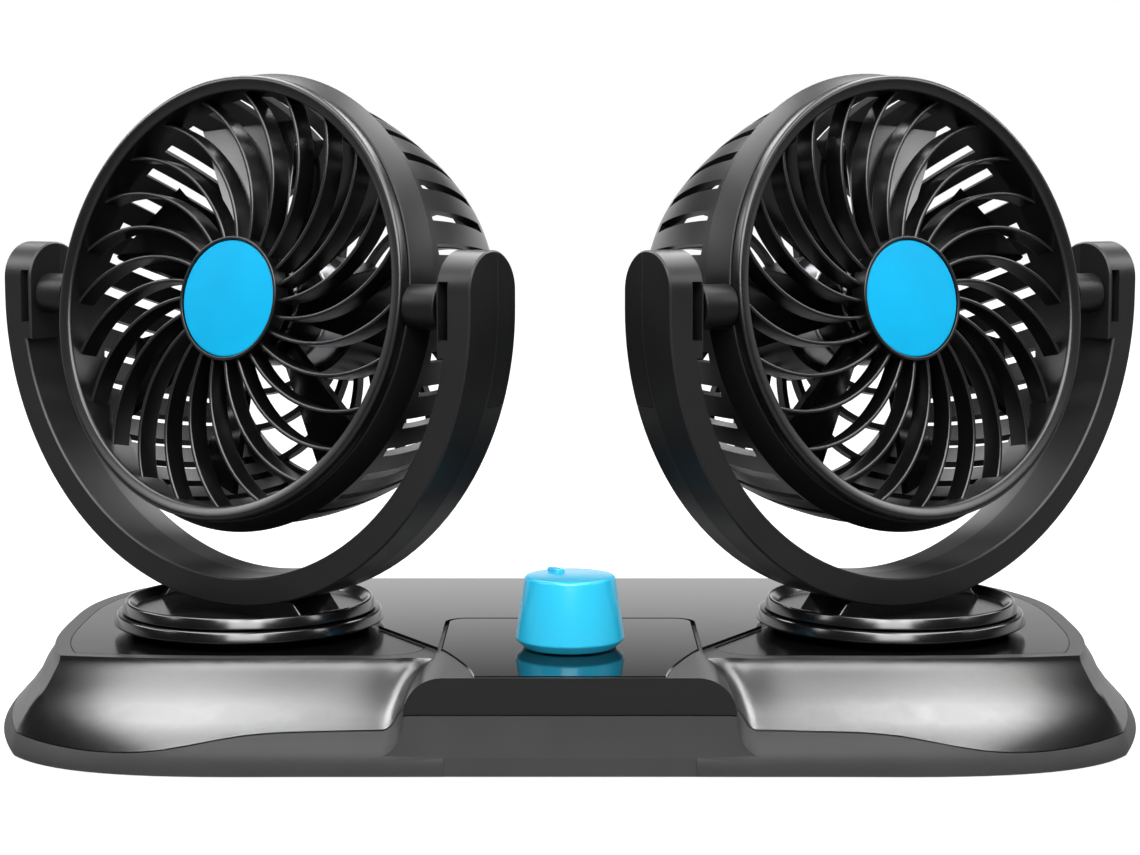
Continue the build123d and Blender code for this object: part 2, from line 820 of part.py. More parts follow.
def cover_zone(clearance):
    """Rear outside of both arms, where the pivot covers lie."""
    half = yoke_depth / 2
    inner = yoke_outer_radius - cover_thickness - clearance
    shell = along_y(pipe(yoke_outer_radius * 2, inner, -half - overrun, half + overrun))
    zones = []
    for side in (-1, 1):
        front_y = yoke_seam_back + cover_thickness - clearance
        arm_x = sorted((side * inner, side * yoke_outer_radius * 2))
        upper = block(arm_x, (front_y, half + overrun), (0, yoke_arm_rise * 2))
        lower_x = sorted((side * yoke_inner_radius / 2, side * yoke_outer_radius * 2))
        lower = block(lower_x, (front_y, half + overrun), (-cover_drop - clearance, 0))
        zones.append(upper + (shell & lower))
    return zones


def yoke_screw_seats():
    """Places of the yoke screws on the middle line of the arc."""
    radius = yoke_inner_radius + (yoke_outer_radius - yoke_inner_radius) * yoke_screw_share
    return [
        (radius * sin(radians(angle)), -radius * cos(radians(angle))) for angle in yoke_screw_angles
    ]


def yoke_pieces():
    """Front half, rear half, screws and pivot covers of the yoke."""
    half = yoke_depth / 2
    blank = yoke_blank(yoke_outer_radius)
    near = yoke_edge_bevel / 2
    outline = blank.edges().filter_by(
        lambda edge: abs(abs(edge.center().Y) - half) < near and edge.center().Z < yoke_arm_rise / 2
    )
    blank = chamfer(outline, yoke_edge_bevel)
    for cut in pivot_cuts():
        blank -= cut
    outer_wall = yoke_outer_radius - yoke_wall
    inner_wall = yoke_inner_radius + yoke_wall
    channel = along_y(pipe(outer_wall, inner_wall, -half + yoke_wall, half - yoke_wall))
    reach = yoke_outer_radius * sin(radians(yoke_channel_angle))
    top = -yoke_inner_radius * cos(radians(yoke_channel_angle))
    channel &= block((-reach, reach), (-half, half), (-base_width, top))
    for x, z in yoke_screw_seats():
        post = along_y(disc(yoke_post_radius, -half, half))
        channel -= Pos(x, 0, z) * post
    blank -= channel
    rear_zone = block(
        (-base_width, base_width), (yoke_seam_back, yoke_depth), (-base_width, base_width)
    )
    for side in (-1, 1):
        tongue_x = sorted((side * (yoke_pad_face - overrun), side * (pin_end + moving_gap)))
        pin_half = pin_radius + running_gap
        rear_zone += block(tongue_x, (0, yoke_seam_back + overrun), (-pin_half, pin_half))
    rear = blank & rear_zone
    front = blank - rear_zone
    covers = []
    for zone, cut in zip(cover_zone(0), cover_zone(seat_gap)):
        covers.append(rear & zone)
        rear -= cut
    screws = []
    head_seat = half - screw_head_height - seat_gap
    for x, z in yoke_screw_seats():
        at = Pos(x, 0, z)
        rear -= at * (Rot(-90, 0, 0) * disc(yoke_screw_head_radius + seat_gap, head_seat, half + overrun))
        rear -= at * (Rot(-90, 0, 0) * disc(screw_radius, -half, half))
        front -= at * (Rot(-90, 0, 0) * disc(screw_radius, -half + yoke_wall * 2, half))
        one = screw(yoke_screw_head_radius, screw_head_height, screw_radius, head_seat + half / 2)
        screws.append(at * (Rot(-90, 0, 0) * (Pos(0, 0, head_seat) * one)))
    return front, rear, screws, covers


# Head, drawn round its own axis with its front towards +Z


def place_head(shape):
    turn = Rot(0, 0, -head_yaw) * Rot(90 - head_tilt, 0, 0)
    return Pos(-swivel_spacing / 2, swivel_y, pivot_height) * (turn * shape)


def spiral_angle(radius, inner, root_slant, end_slant, outer):
    """Angle, in radians, of a rib's middle line at a radius. Its slant grows evenly on the way out."""
    steps = 24
    angle = 0.0
    width = (radius - inner) / steps
    for index in range(steps):
        middle = inner + width * (index + 0.5)
        slant = root_slant + (end_slant - root_slant) * (middle - inner) / (outer - inner)
        angle += tan(radians(slant)) / middle * width
    return angle


def rib_outline(inner, outer, thickness, slants):
    """One flat spiral rib as a face, from the inner to the outer radius."""
    count = 7
    middle = []
    for index in range(count):
        radius = inner + (outer - inner) * index / (count - 1)
        angle = spiral_angle(radius, inner, *slants, outer)
        middle.append(Vector(radius * cos(angle), radius * sin(angle)))
    left = []
    right = []
    for index, point in enumerate(middle):
        ahead = middle[min(index + 1, count - 1)]
        behind = middle[max(index - 1, 0)]
        direction = (ahead - behind).normalized()
        across = Vector(-direction.Y, direction.X) * (thickness / 2)
        left.append(point + across)
        right.append(point - across)
    edges = [Spline(*left), Line(left[-1], right[-1]), Spline(*reversed(right)), Line(right[0], left[0])]
    return Face(Wire(edges))


def rib_wheel(radii, count, thickness, slants, levels):
    """Spiral ribs standing between two radii, as separate solids."""
    flat = rib_outline(*radii, thickness, slants)
    one = Pos(0, 0, levels[0]) * extrude(flat, levels[1] - levels[0], dir=(0, 0, 1))
    return [Rot(0, 0, 360 / count * index) * one for index in range(count)]


def throat_level():
    return lip_front - throat_depth


def front_grille():
    """Lip ring, spiral ribs and hub ring in one moulding."""
    lip_back = lip_front - lip_thickness
    rib_top = throat_level()
    rib_low = rib_top - rib_depth
    ring = turned(
        (
            (throat_radius, rib_low),
            (throat_radius + throat_wall, rib_low),
            (throat_radius + throat_wall, lip_back),
            (lip_radius, lip_back),
            (lip_radius, lip_front),
            (lip_crest_radius, lip_front),
            (throat_radius, lip_front - lip_inner_drop),
        )
    )
    crest = ring.edges().filter_by(GeomType.CIRCLE).group_by(Axis.Z)[-1]
    ring = fillet(crest, lip_round)
    hub_low = hub_front - hub_ring_depth
    hub = pipe(hub_ring_radius, cap_radius + seat_gap, hub_low, hub_front)
    hub += disc(hub_ring_radius, hub_low, hub_front - cap_recess - cap_thickness)
    ribs = rib_wheel(
        (hub_ring_radius - seat_gap * 2, throat_radius + seat_gap * 2),
        rib_count,
        rib_thickness,
        (rib_root_slant, rib_end_slant),
        (rib_low, rib_top),
    )
    return (ring + hub) + ribs


def hub_cap():
    top = hub_front - cap_recess
    cap = disc(cap_radius, top - cap_thickness, top)
    return fillet(cap.edges().sort_by(Axis.Z)[-1], cap_round)


def head_band():
    """Flared band with a trunnion boss and pin on each side."""
    front = lip_front - lip_thickness - seam_gap
    rear = -band_rear
    band = turned(
        (
            (band_front_radius - band_wall, front),
            (band_front_radius, front),
            (band_rear_radius, rear),
            (band_rear_radius - band_wall, rear),
        )
    )
    half = trunnion_height / 2
    low = -trunnion_rear
    boss = block((0, trunnion_end), (-half, half), (low, trunnion_front))
    boss = fillet(boss.edges().filter_by(Axis.X), half * trunnion_round_share)
    boss -= turned(
        (
            (0, low - overrun),
            (band_rear_radius - band_wall / 2, low - overrun),
            (band_rear_radius - band_wall / 2, rear),
            (band_front_radius - band_wall / 2, front),
            (lip_radius + seam_gap, front),
            (lip_radius + seam_gap, trunnion_front + overrun),
            (0, trunnion_front + overrun),
        )
    )
    boss += Rot(0, 90, 0) * disc(pin_radius, trunnion_end - seat_gap, pin_end)
    return band + boss + mirrored(boss)


def pivot_discs():
    start = yoke_pad_face + slot_inset + (slot_width - disc_thickness) / 2
    one = Rot(0, 90, 0) * pipe(disc_radius, pin_radius, start, start + disc_thickness)
    return [one, mirrored(one)]


def cage_wire(inset, front, rear):
    """Closed profile of the cage's space in the XZ plane."""
    middle = -(cage_rear + band_rear) / 2
    arc = ThreePointArc(
        (cage_front_radius - inset, 0, front),
        (cage_middle_radius - inset, 0, middle),
        (cage_rear_radius - inset, 0, rear),
    )
    return Wire(
        [
            arc,
            Line((cage_rear_radius - inset, 0, rear), (0, 0, rear)),
            Line((0, 0, rear), (0, 0, front)),
            Line((0, 0, front), (cage_front_radius - inset, 0, front)),
        ]
    )


def rear_cage():
    """Slatted drum with a ribbed rear face and a cup for the motor."""
    front = -band_rear - seam_gap
    outer = revolve(Face(cage_wire(0, front, -cage_rear)), Axis.Z)
    rear_edge = outer.edges().filter_by(GeomType.CIRCLE).sort_by(Axis.Z)[0]
    outer = fillet(rear_edge, cage_edge_round)
    floor_level = -cage_rear + rear_rib_depth
    inner = revolve(Face(cage_wire(cage_wall, front + overrun / 2, floor_level)), Axis.Z)
    shell = outer - inner
    cup_radius = motor_radius + seat_gap + motor_cup_wall
    window_radius = cage_rear_radius - cage_edge_round - cage_wall
    shell -= pipe(window_radius, cup_radius, -cage_rear - overrun, floor_level + overrun)
    cup_top = -cage_rear + motor_cup_depth
    shell += pipe(cup_radius, motor_radius + seat_gap, floor_level - seat_gap, cup_top)
    shell = shell + rib_wheel(
        (cup_radius - motor_cup_wall / 2, window_radius + cage_wall / 2),
        rear_rib_count,
        rear_rib_thickness,
        (-rear_rib_root_slant, -rear_rib_end_slant),
        (-cage_rear, floor_level),
    )
    slot_front = front - cage_slot_margin
    slot_rear = -cage_rear + cage_edge_round + cage_slot_margin / 2
    length = slot_front - slot_rear
    half = cage_slot_width / 2
    slot_reach = (cage_rear_radius / 2, cage_front_radius + overrun)
    slot = block(slot_reach, (-half, half), (-length / 2, length / 2))
    slot = Pos(0, 0, (slot_front + slot_rear) / 2) * (Rot(cage_slot_slant, 0, 0) * slot)
    slots = [Rot(0, 0, 360 / cage_slot_count * index) * slot for index in range(cage_slot_count)]
    shell = shell - slots
    for side in (-1, 1):
        hole = disc(motor_screw_radius + seat_gap, -cage_rear - overrun, floor_level + overrun)
        shell -= Pos(side * motor_screw_spacing / 2, 0, 0) * hole
    return shell


def motor_levels():
    """Rear and front faces of the motor can."""
    rear = -cage_rear + rear_rib_depth + seat_gap
    return rear, rear + motor_length


def motor_can():
    rear, front = motor_levels()
    can = disc(motor_radius, rear, front)
    can = fillet(can.edges().sort_by(Axis.Z)[-1], motor_edge_round)
    can += disc(motor_boss_radius, front - seat_gap, front + motor_boss_height)
    can -= disc(motor_shaft_radius + running_gap, rear + motor_length / 2, front + overrun)
    for side in (-1, 1):
        hole = disc(motor_screw_radius, rear - overrun, rear + screw_bite)
        can -= Pos(side * motor_screw_spacing / 2, 0, 0) * hole
    return can


def motor_screws():
    seat = -cage_rear
    length = rear_rib_depth + motor_screw_bite
    one = Rot(180, 0, 0) * screw(
        motor_screw_head_radius, screw_head_height / 2, motor_screw_radius, length
    )
    return [Pos(side * motor_screw_spacing / 2, 0, seat) * one for side in (-1, 1)]


def blade():
    """One twisted fan blade along X, lofted from a root to a tip section."""
    sections = []
    spread = (
        (impeller_hub_radius - impeller_hub_wall / 2, blade_root_chord, blade_root_pitch),
        (impeller_tip_radius, blade_tip_chord, blade_tip_pitch),
    )
    for radius, chord, pitch in spread:
        plane = Plane(origin=(radius, 0, 0), x_dir=(0, 1, 0), z_dir=(1, 0, 0))
        sections.append(plane * (Rot(0, 0, pitch) * Rectangle(chord, blade_thickness)))
    return loft(sections, ruled=True)


def impeller():
    """Hub with a rounded nose and twisted blades."""
    rear = impeller_front - impeller_hub_depth
    hub = disc(impeller_hub_radius, rear, impeller_front)
    hub = fillet(hub.edges().sort_by(Axis.Z)[-1], impeller_nose)
    inside = impeller_hub_radius - impeller_hub_wall
    hub -= disc(inside, rear - overrun, impeller_front - impeller_nose - impeller_hub_wall)
    hub += disc(motor_boss_radius, rear + impeller_hub_wall, impeller_front - impeller_nose)
    hub -= disc(motor_shaft_radius, rear - overrun, impeller_front - impeller_nose)
    middle = impeller_front - impeller_hub_depth / 2
    one = Pos(0, 0, middle) * blade()
    blades = [Rot(0, 0, 360 / blade_count * index) * one for index in range(blade_count)]
    core = disc(inside, rear - overrun, impeller_front + overrun)
    return hub + [one - core for one in blades]


def motor_shaft():
    rear, front = motor_levels()
    low = rear + motor_length / 2 + moving_gap
    return disc(motor_shaft_radius, low, impeller_front - impeller_nose)


# Writing


def as_shape(pieces):
    """One shape from a solid or a list of separate solids."""
    if isinstance(pieces, list):
        solids = [solid for piece in pieces for solid in piece.solids()]
        return Compound(children=solids)
    return pieces


def write(name, pieces):
    export_step(as_shape(pieces), "parts/" + name + ".step")


def write_pair(name, pieces):
    """The left piece as drawn and the right one as its mirror image."""
    group = pieces if isinstance(pieces, list) else [pieces]
    write("left_" + name, pieces)
    right = [mirrored(piece) for piece in group]
    write("right_" + name, right if isinstance(pieces, list) else right[0])


def placed(place, pieces):
    return [place(piece) for piece in pieces] if isinstance(pieces, list) else place(pieces)


def main():
    os.makedirs("parts", exist_ok=True)
    write("base_tray", base_tray())
    write("base_cover", base_cover())
    deck, panel = deck_and_panel()
    write("centre_deck", deck)
    write("control_panel", panel)
    write("rubber_feet", feet())
    write("base_screws", base_screws())
    write("cable_grommet", cable_grommet())
    write("circuit_board", circuit_board())
    write("speed_switch", switch_body()[0])
    write("switch_nut", switch_nut())
    knob, shaft = knob_pieces()
    write("speed_knob", knob)
    write("switch_shaft", shaft)

    write_pair("pod_inlay", pod_inlay())
    write_pair("swivel_collar", at_left_swivel(swivel_collar()))
    write_pair("swivel_plate", swivel_plate())
    retainer, retainer_screws = swivel_retainer()
    write_pair("swivel_retainer", retainer)
    write_pair("retainer_screws", retainer_screws)

    front, rear, screws, covers = yoke_pieces()
    write_pair("yoke_front", placed(place_yoke, front))
    write_pair("yoke_rear", placed(place_yoke, rear))
    write_pair("yoke_screws", placed(place_yoke, screws))
    write_pair("pivot_covers", placed(place_yoke, covers))

    head = {
        "front_grille": front_grille(),
        "hub_cap": hub_cap(),
        "head_band": head_band(),
        "pivot_discs": pivot_discs(),
        "rear_cage": rear_cage(),
        "motor_can": motor_can(),
        "motor_screws": motor_screws(),
        "impeller": impeller(),
        "motor_shaft": motor_shaft(),
    }
    for name, pieces in head.items():
        write_pair(name, placed(place_head, pieces))


main()
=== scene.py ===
import bpy
import json
import math
from mathutils import Matrix, Vector


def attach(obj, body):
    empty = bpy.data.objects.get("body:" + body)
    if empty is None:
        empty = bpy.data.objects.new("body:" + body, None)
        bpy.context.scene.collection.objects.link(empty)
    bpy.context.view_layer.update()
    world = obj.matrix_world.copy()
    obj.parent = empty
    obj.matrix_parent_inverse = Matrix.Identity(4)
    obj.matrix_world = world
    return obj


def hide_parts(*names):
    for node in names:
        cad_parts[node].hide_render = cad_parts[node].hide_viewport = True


# Dual head car fan. Pieces are drawn in millimetres and brought to metres when they are placed.
# Each pair is modelled once as the left one and copied to the right through the plane X = 0.

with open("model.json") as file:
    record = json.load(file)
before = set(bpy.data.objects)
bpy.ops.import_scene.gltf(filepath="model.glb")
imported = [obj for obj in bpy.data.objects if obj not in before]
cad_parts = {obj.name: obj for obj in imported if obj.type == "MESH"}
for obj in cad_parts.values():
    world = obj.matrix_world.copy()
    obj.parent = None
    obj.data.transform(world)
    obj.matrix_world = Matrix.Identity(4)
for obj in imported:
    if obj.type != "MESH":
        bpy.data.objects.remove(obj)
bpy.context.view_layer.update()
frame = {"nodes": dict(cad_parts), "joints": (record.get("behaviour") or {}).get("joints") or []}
mm = 0.001
print("loaded", len(frame["nodes"]), "nodes")


# Camera and studio

cameraSetup = {
    "lens": 72.96,
    "sensor": 36.0,
    "place": (0.0, -0.5631, 0.1306),
    "pitchDown": 6.05,
    "nearest": 0.01,
}

studio = {
    "fillStrength": 0.46,  # light of the room on dull surfaces
    "mirrorDark": 0.07,  # what gloss sees of the room in front and above
    "mirrorWall": 1.25,  # what gloss sees of the white backdrop
    "backdropTop": (0.155, 0.228),  # the backdrop fades out between these heights of direction
    "backdropSide": (-0.15, 0.35),  # and between these depths of direction at the sides
    "floorColor": (0.62, 0.62, 0.62),
    "floorGlow": 0.80,
    "floorReach": 6.0,
}

lamps = {  # place, aim, width, height, watts, lights dull surfaces too
    "overLeft": ((-0.34, -0.10, 0.80), (-0.34, -0.10, 0.0), 0.46, 2.30, 32.0, False),
    "overRight": ((0.34, -0.10, 0.80), (0.34, -0.10, 0.0), 0.46, 2.30, 32.0, False),
    "leftBroad": ((-1.0, 0.05, 0.64), (-0.08, 0.0, 0.03), 1.00, 0.26, 9.0, False),
    "rightBroad": ((1.0, 0.05, 0.64), (0.08, 0.0, 0.03), 1.00, 0.26, 9.0, False),
    "frontBroad": ((0.0, -1.15, 0.66), (0.0, 0.0, 0.03), 0.66, 0.44, 13.0, False),
    "highBox": ((0.0, -0.80, 1.02), (0.0, 0.0, 0.05), 1.1, 0.7, 17.0, True),
    "podLeft": ((-0.30, -0.15, 0.80), (-0.30, -0.15, 0.0), 0.34, 2.30, 40.0, False),
    "podRight": ((0.30, -0.15, 0.80), (0.30, -0.15, 0.0), 0.34, 2.30, 40.0, False),
}
podLamps = ("podLeft", "podRight")


def deselectAll():
    if bpy.context.object and bpy.context.object.mode != "OBJECT":
        bpy.ops.object.mode_set(mode="OBJECT")
    bpy.ops.object.select_all(action="DESELECT")


def setCamera():
    data = bpy.data.cameras.new("photoCamera")
    data.lens = cameraSetup["lens"]
    data.sensor_width = cameraSetup["sensor"]
    data.clip_start = cameraSetup["nearest"]
    data.dof.use_dof = False
    camera = bpy.data.objects.new("photoCamera", data)
    bpy.context.scene.collection.objects.link(camera)
    camera.location = cameraSetup["place"]
    camera.rotation_euler = (math.radians(90 - cameraSetup["pitchDown"]), 0, 0)
    bpy.context.scene.camera = camera


def addNode(tree, kind, **values):
    node = tree.nodes.new(kind)
    for key, value in values.items():
        if hasattr(node, key):
            setattr(node, key, value)
        else:
            node.inputs[key.replace("_", " ")].default_value = value
    return node


def setWorld():
    world = bpy.data.worlds.new("studioWorld")
    bpy.context.scene.world = world
    world.use_nodes = True
    tree = world.node_tree
    tree.nodes.clear()
    link = tree.links.new
    white = (1, 1, 1, 1)
    way = addNode(tree, "ShaderNodeTexCoord")
    split = addNode(tree, "ShaderNodeSeparateXYZ")
    link(way.outputs["Generated"], split.inputs[0])
    low, high = studio["backdropTop"]
    fade = addNode(tree, "ShaderNodeMapRange", interpolation_type="SMOOTHSTEP")
    fade.inputs["From Min"].default_value = low
    fade.inputs["From Max"].default_value = high
    fade.inputs["To Min"].default_value = 1
    fade.inputs["To Max"].default_value = 0
    link(split.outputs["Z"], fade.inputs["Value"])
    behind = addNode(tree, "ShaderNodeMapRange", interpolation_type="SMOOTHSTEP")
    behind.inputs["From Min"].default_value = studio["backdropSide"][0]
    behind.inputs["From Max"].default_value = studio["backdropSide"][1]
    link(split.outputs["Y"], behind.inputs["Value"])
    wall = addNode(tree, "ShaderNodeMath", operation="MULTIPLY")
    link(fade.outputs[0], wall.inputs[0])
    link(behind.outputs[0], wall.inputs[1])
    level = addNode(tree, "ShaderNodeMapRange")
    level.inputs["To Min"].default_value = studio["mirrorDark"]
    level.inputs["To Max"].default_value = studio["mirrorWall"]
    link(wall.outputs[0], level.inputs["Value"])
    fill = addNode(tree, "ShaderNodeBackground", Color=white, Strength=studio["fillStrength"])
    mirror = addNode(tree, "ShaderNodeBackground", Color=white)
    link(level.outputs[0], mirror.inputs["Strength"])
    seen = addNode(tree, "ShaderNodeBackground", Color=white, Strength=1.0)
    path = addNode(tree, "ShaderNodeLightPath")
    pickMirror = addNode(tree, "ShaderNodeMixShader")
    pickSeen = addNode(tree, "ShaderNodeMixShader")
    out = addNode(tree, "ShaderNodeOutputWorld")
    link(path.outputs["Is Glossy Ray"], pickMirror.inputs[0])
    link(fill.outputs[0], pickMirror.inputs[1])
    link(mirror.outputs[0], pickMirror.inputs[2])
    link(path.outputs["Is Camera Ray"], pickSeen.inputs[0])
    link(pickMirror.outputs[0], pickSeen.inputs[1])
    link(seen.outputs[0], pickSeen.inputs[2])
    link(pickSeen.outputs[0], out.inputs["Surface"])


def layFloor():
    deselectAll()
    bpy.ops.mesh.primitive_plane_add(size=studio["floorReach"], location=(0, 0, 0))
    floor = bpy.context.object
    floor.name = "studioFloor"
    paint = bpy.data.materials.new("paleFloor")
    paint.use_nodes = True
    tree = paint.node_tree
    tree.nodes.clear()
    matte = addNode(tree, "ShaderNodeBsdfDiffuse", Color=(*studio["floorColor"], 1))
    glow = addNode(tree, "ShaderNodeEmission", Strength=studio["floorGlow"])
    both = addNode(tree, "ShaderNodeAddShader")
    path = addNode(tree, "ShaderNodeLightPath")
    pick = addNode(tree, "ShaderNodeMixShader")
    out = addNode(tree, "ShaderNodeOutputMaterial")
    tree.links.new(matte.outputs[0], both.inputs[0])
    tree.links.new(glow.outputs[0], both.inputs[1])
    tree.links.new(path.outputs["Is Camera Ray"], pick.inputs[0])
    tree.links.new(matte.outputs[0], pick.inputs[1])
    tree.links.new(both.outputs[0], pick.inputs[2])
    tree.links.new(pick.outputs[0], out.inputs["Surface"])
    floor.data.materials.append(paint)


def hangLamp(name, setup):
    place, aim, width, height, watts, lightsDull = setup
    data = bpy.data.lights.new(name, "AREA")
    data.shape = "RECTANGLE"
    data.size = width
    data.size_y = height
    data.energy = watts
    lamp = bpy.data.objects.new(name, data)
    bpy.context.scene.collection.objects.link(lamp)
    lamp.location = place
    direction = Vector(aim) - Vector(place)
    if direction.x or direction.y:  # an unturned lamp already looks straight down
        lamp.rotation_euler = direction.to_track_quat("-Z", "Y").to_euler()
    lamp.visible_camera = False
    lamp.visible_diffuse = lightsDull


setCamera()
setWorld()
layFloor()
for lampName, lampSetup in lamps.items():
    hangLamp(lampName, lampSetup)
bpy.context.scene.view_settings.view_transform = "Standard"
print("studio ready")


# Finishes

finishes = {  # tint, roughness, spread of roughness, grain size in mm, grain depth in mm, specular level
    "trayPlastic": ((0.058, 0.058, 0.059), 0.5, 0.05, 0.5, 0.008, 0.06),
    "coverBlack": ((0.003, 0.003, 0.0033), 0.31, 0.02, 1.6, 0.001, 0.38),
    "deckGloss": ((0.003, 0.003, 0.0033), 0.05, 0.02, 4.0, 0.001, 0.5),
    "inlayBlack": ((0.003, 0.003, 0.0033), 0.16, 0.04, 0.8, 0.003, 0.35),
    "collarBlack": ((0.003, 0.003, 0.0033), 0.18, 0.03, 1.4, 0.002, 0.5),
    "yokeBlack": ((0.011, 0.011, 0.0114), 0.38, 0.05, 0.45, 0.006, 0.2),
    "yokeRearBlack": ((0.012, 0.012, 0.0125), 0.34, 0.04, 0.45, 0.005, 0.45),
    "grilleBlack": ((0.003, 0.003, 0.0033), 0.30, 0.02, 0.9, 0.002, 0.34),
    "bandGloss": ((0.004, 0.004, 0.0044), 0.42, 0.04, 1.2, 0.002, 0.15),
    "cageBlack": ((0.003, 0.003, 0.0033), 0.31, 0.02, 0.8, 0.002, 0.36),
    "impellerBlack": ((0.003, 0.003, 0.0033), 0.16, 0.04, 0.8, 0.002, 0.28),
    "knobBlue": ((0.03, 0.60, 0.99), 0.21, 0.03, 1.8, 0.002, 0.3),
    "capBlue": ((0.002, 0.43, 0.78), 0.5, 0.05, 0.6, 0.003, 0.05),
    "footRubber": ((0.012, 0.012, 0.012), 0.85, 0.08, 0.3, 0.02, 0.3),
    "boardGreen": ((0.012, 0.09, 0.035), 0.45, 0.05, 0.7, 0.01, 0.4),
    "switchCase": ((0.012, 0.012, 0.013), 0.55, 0.06, 0.4, 0.01, 0.4),
}

steels = {  # tint, roughness, brush length in mm, brush width in mm
    "screwSteel": ((0.32, 0.32, 0.33), 0.35, 0.8, 0.08),
    "shaftSteel": ((0.6, 0.6, 0.62), 0.25, 3.0, 0.1),
    "motorSteel": ((0.5, 0.5, 0.52), 0.32, 6.0, 0.2),
}

paintHabits = {
    "tintDrift": 0.12,  # share by which a moulding's tint goes up and down
    "sheenGrains": 30,  # the sheen of a moulding changes over this many grains
    "grainStrength": 0.6,
    "steelTint": (0.85, 1.1),  # darkest and palest share of a steel's tint
    "steelSheen": (0.7, 1.3),  # the same for its roughness
}


def tintShare(tint, share):
    return (*[min(part * share, 1) for part in tint], 1)


def mouldedPlastic(name, tint, roughness, spread, grain, depth, specular):
    paint = bpy.data.materials.new(name)
    paint.use_nodes = True
    tree = paint.node_tree
    link = tree.links.new
    shader = tree.nodes["Principled BSDF"]
    shader.inputs["Specular IOR Level"].default_value = specular
    spot = addNode(tree, "ShaderNodeTexCoord")
    fine = addNode(tree, "ShaderNodeTexNoise", Scale=1 / (grain * mm), Detail=3)
    broad = addNode(tree, "ShaderNodeTexNoise", Scale=1 / (grain * mm * paintHabits["sheenGrains"]), Detail=2)
    link(spot.outputs["Object"], fine.inputs["Vector"])
    link(spot.outputs["Object"], broad.inputs["Vector"])
    sheen = addNode(tree, "ShaderNodeMapRange", To_Min=roughness - spread, To_Max=roughness + spread)
    link(broad.outputs[0], sheen.inputs["Value"])
    link(sheen.outputs["Result"], shader.inputs["Roughness"])
    shade = addNode(tree, "ShaderNodeMix", data_type="RGBA")
    shade.inputs[6].default_value = tintShare(tint, 1 - paintHabits["tintDrift"])
    shade.inputs[7].default_value = tintShare(tint, 1 + paintHabits["tintDrift"])
    link(broad.outputs[0], shade.inputs[0])
    link(shade.outputs[2], shader.inputs["Base Color"])
    bump = addNode(tree, "ShaderNodeBump", Distance=depth * mm, Strength=paintHabits["grainStrength"])
    link(fine.outputs[0], bump.inputs["Height"])
    link(bump.outputs[0], shader.inputs["Normal"])
    return paint


def drawnSteel(name, tint, roughness, length, width):
    paint = bpy.data.materials.new(name)
    paint.use_nodes = True
    tree = paint.node_tree
    link = tree.links.new
    shader = tree.nodes["Principled BSDF"]
    shader.inputs["Metallic"].default_value = 1.0
    spot = addNode(tree, "ShaderNodeTexCoord")
    across = 1 / (width * mm)
    stretch = addNode(tree, "ShaderNodeMapping", Scale=(across, across, 1 / (length * mm)))
    brush = addNode(tree, "ShaderNodeTexNoise", Scale=1.0, Detail=2)
    link(spot.outputs["Object"], stretch.inputs["Vector"])
    link(stretch.outputs[0], brush.inputs["Vector"])
    smoothest, roughest = [roughness * share for share in paintHabits["steelSheen"]]
    sheen = addNode(tree, "ShaderNodeMapRange", To_Min=smoothest, To_Max=roughest)
    link(brush.outputs[0], sheen.inputs["Value"])
    link(sheen.outputs["Result"], shader.inputs["Roughness"])
    shade = addNode(tree, "ShaderNodeMix", data_type="RGBA")
    darkest, palest = paintHabits["steelTint"]
    shade.inputs[6].default_value = tintShare(tint, darkest)
    shade.inputs[7].default_value = tintShare(tint, palest)
    link(brush.outputs[0], shade.inputs[0])
    link(shade.outputs[2], shader.inputs["Base Color"])
    return paint


finish = {name: mouldedPlastic(name, *values) for name, values in finishes.items()}
finish.update({name: drawnSteel(name, *values) for name, values in steels.items()})
print("finishes ready")


# Modelling helpers

headYaw = -33.0  # the left head looks this far off straight ahead
headLean = 9.4  # and leans back this far
cornerSegments = 5  # of a turned piece's rounded corner
closeBy = 0.001  # mm between points that count as one corner
weld = 0.002  # mm between points that are merged

metres = Matrix.Scale(mm, 4)
mirror = Matrix.Diagonal((-1, 1, 1, 1))
jointPlaces = {joint["name"]: [part / mm for part in joint["pos_m"]] for joint in frame["joints"]}
pivot = jointPlaces["left_tilt"]
yawTurn = Matrix.Rotation(math.radians(headYaw), 4, "Z")
headPlace = Matrix.Translation(pivot) @ yawTurn @ Matrix.Rotation(math.radians(90 - headLean), 4, "X")
swivelPlace = Matrix.Translation((pivot[0], pivot[1], 0))
knobPlace = Matrix.Translation((0, jointPlaces["knob_turn"][1], 0))


def openEdit(piece):
    deselectAll()
    bpy.context.view_layer.objects.active = piece
    piece.select_set(True)
    bpy.ops.object.mode_set(mode="EDIT")
    bpy.ops.mesh.select_mode(type="VERT")
    bpy.ops.mesh.select_all(action="SELECT")


def closeEdit():
    bpy.ops.object.mode_set(mode="OBJECT")


def selectWhere(piece, test):
    # selects the points that pass the test, and stays in edit mode
    bpy.ops.mesh.select_all(action="DESELECT")
    bpy.ops.object.mode_set(mode="OBJECT")
    for point in piece.data.vertices:
        point.select = test(point.co)
    bpy.ops.object.mode_set(mode="EDIT")


def cleanMesh(piece):
    openEdit(piece)
    bpy.ops.mesh.remove_doubles(threshold=weld)
    bpy.ops.mesh.delete_loose()
    bpy.ops.mesh.select_all(action="SELECT")
    bpy.ops.mesh.normals_make_consistent(inside=False)
    closeEdit()


